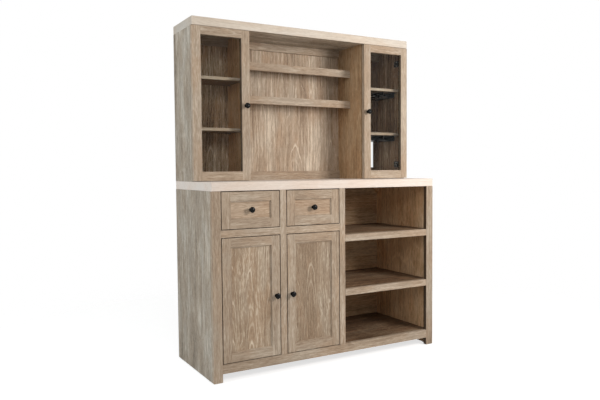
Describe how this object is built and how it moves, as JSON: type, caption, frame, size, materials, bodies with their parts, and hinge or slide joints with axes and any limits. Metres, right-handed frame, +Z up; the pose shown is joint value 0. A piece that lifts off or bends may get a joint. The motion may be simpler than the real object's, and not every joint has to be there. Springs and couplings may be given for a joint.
{
  "type": "bar cabinet with hutch",
  "caption": "Free-standing bar cabinet: drawers, cupboard doors and an open shelf bay under a counter, and a hutch with glazed side towers and shallow bottle shelves.",
  "frame": {"origin": "on the floor, under the middle of the whole outline, knobs included", "axes": "+Z up, the front with doors and drawers looks towards -Y, +X to the right as seen from the front"},
  "size_m": [1.286, 0.5156, 1.694],
  "materials": {
    "weathered_oak": "weathered grey-tan oak, brushed grain, matt",
    "whitewashed_oak": "whitewashed oak, matt",
    "case_interior": "plain oak of the inside, matt",
    "clear_glass": "clear float glass",
    "black_knob": "black, satin",
    "hinge_steel": "nickel-plated steel",
    "glide_plastic": "dark nylon"
  },
  "bodies": {
    "cabinet": {"base_side_left": "weathered_oak", "base_side_right": "weathered_oak", "base_leg_stile_left": "weathered_oak", "base_leg_stile_right": "weathered_oak", "base_inner_stiles": "weathered_oak", "base_bottom_rail": "weathered_oak", "base_middle_rails": "weathered_oak", "base_bottom_board": "weathered_oak", "base_back_panel": "case_interior", "base_partition": "weathered_oak", "drawer_deck": "case_interior", "drawer_divider": "case_interior", "drawer_runners": "case_interior", "cupboard_shelf": "case_interior", "bay_shelf_upper": "weathered_oak", "bay_shelf_lower": "weathered_oak", "counter_top": "whitewashed_oak", "corner_gussets": "weathered_oak", "floor_glides": "glide_plastic", "door_stops": "case_interior", "shelf_pins": "hinge_steel", "hutch_side_left": "weathered_oak", "hutch_side_right": "weathered_oak", "hutch_divider_left": "weathered_oak", "hutch_divider_right": "weathered_oak", "cornice": "whitewashed_oak", "tower_floors": "weathered_oak", "hutch_back_panels": "weathered_oak", "hutch_back_cutout_panel": "weathered_oak", "hutch_top_rails": "weathered_oak", "hutch_bottom_rail": "weathered_oak", "bottle_shelf_upper": "weathered_oak", "bottle_shelf_lower": "weathered_oak", "tower_shelves": "weathered_oak", "glass_racks": "black_knob", "hutch_hinge_arms": "hinge_steel"},
    "left_drawer": {"left_drawer_front_frame": "weathered_oak", "left_drawer_front_panel": "weathered_oak", "left_drawer_box": "case_interior", "left_drawer_knob": "black_knob"},
    "right_drawer": {"right_drawer_front_frame": "weathered_oak", "right_drawer_front_panel": "weathered_oak", "right_drawer_box": "case_interior", "right_drawer_knob": "black_knob"},
    "left_door": {"left_door_frame": "weathered_oak", "left_door_panel": "weathered_oak", "left_door_pivot_pins": "hinge_steel", "left_door_knob": "black_knob"},
    "right_door": {"right_door_frame": "weathered_oak", "right_door_panel": "weathered_oak", "right_door_pivot_pins": "hinge_steel", "right_door_knob": "black_knob"},
    "left_glass_door": {"left_glass_door_frame": "weathered_oak", "left_glass_door_pane": "clear_glass", "left_glass_door_hinge_cups": "hinge_steel", "left_glass_door_knob": "black_knob"},
    "right_glass_door": {"right_glass_door_frame": "weathered_oak", "right_glass_door_pane": "clear_glass", "right_glass_door_hinge_cups": "hinge_steel", "right_glass_door_knob": "black_knob"}
  },
  "joints": [
    {"name": "left_drawer_slide", "type": "slide", "parent": "cabinet", "child": "left_drawer", "axis": [0, -1, 0], "range_m": [0, 0.3]},
    {"name": "right_drawer_slide", "type": "slide", "parent": "cabinet", "child": "right_drawer", "axis": [0, -1, 0], "range_m": [0, 0.3]},
    {"name": "left_door_hinge", "type": "hinge", "parent": "cabinet", "child": "left_door", "pos_m": [-0.585, -0.225, 0.374], "axis": [0, 0, -1], "range_deg": [0, 110]},
    {"name": "right_door_hinge", "type": "hinge", "parent": "cabinet", "child": "right_door", "pos_m": [0.021, -0.225, 0.374], "axis": [0, 0, 1], "range_deg": [0, 110]},
    {"name": "left_glass_door_hinge", "type": "hinge", "parent": "cabinet", "child": "left_glass_door", "pos_m": [-0.63537, 0.00075, 1.284], "axis": [0, 0, -1], "range_deg": [0, 90]},
    {"name": "right_glass_door_hinge", "type": "hinge", "parent": "cabinet", "child": "right_glass_door", "pos_m": [0.63537, 0.00075, 1.284], "axis": [0, 0, 1], "range_deg": [0, 90]}
  ]
}
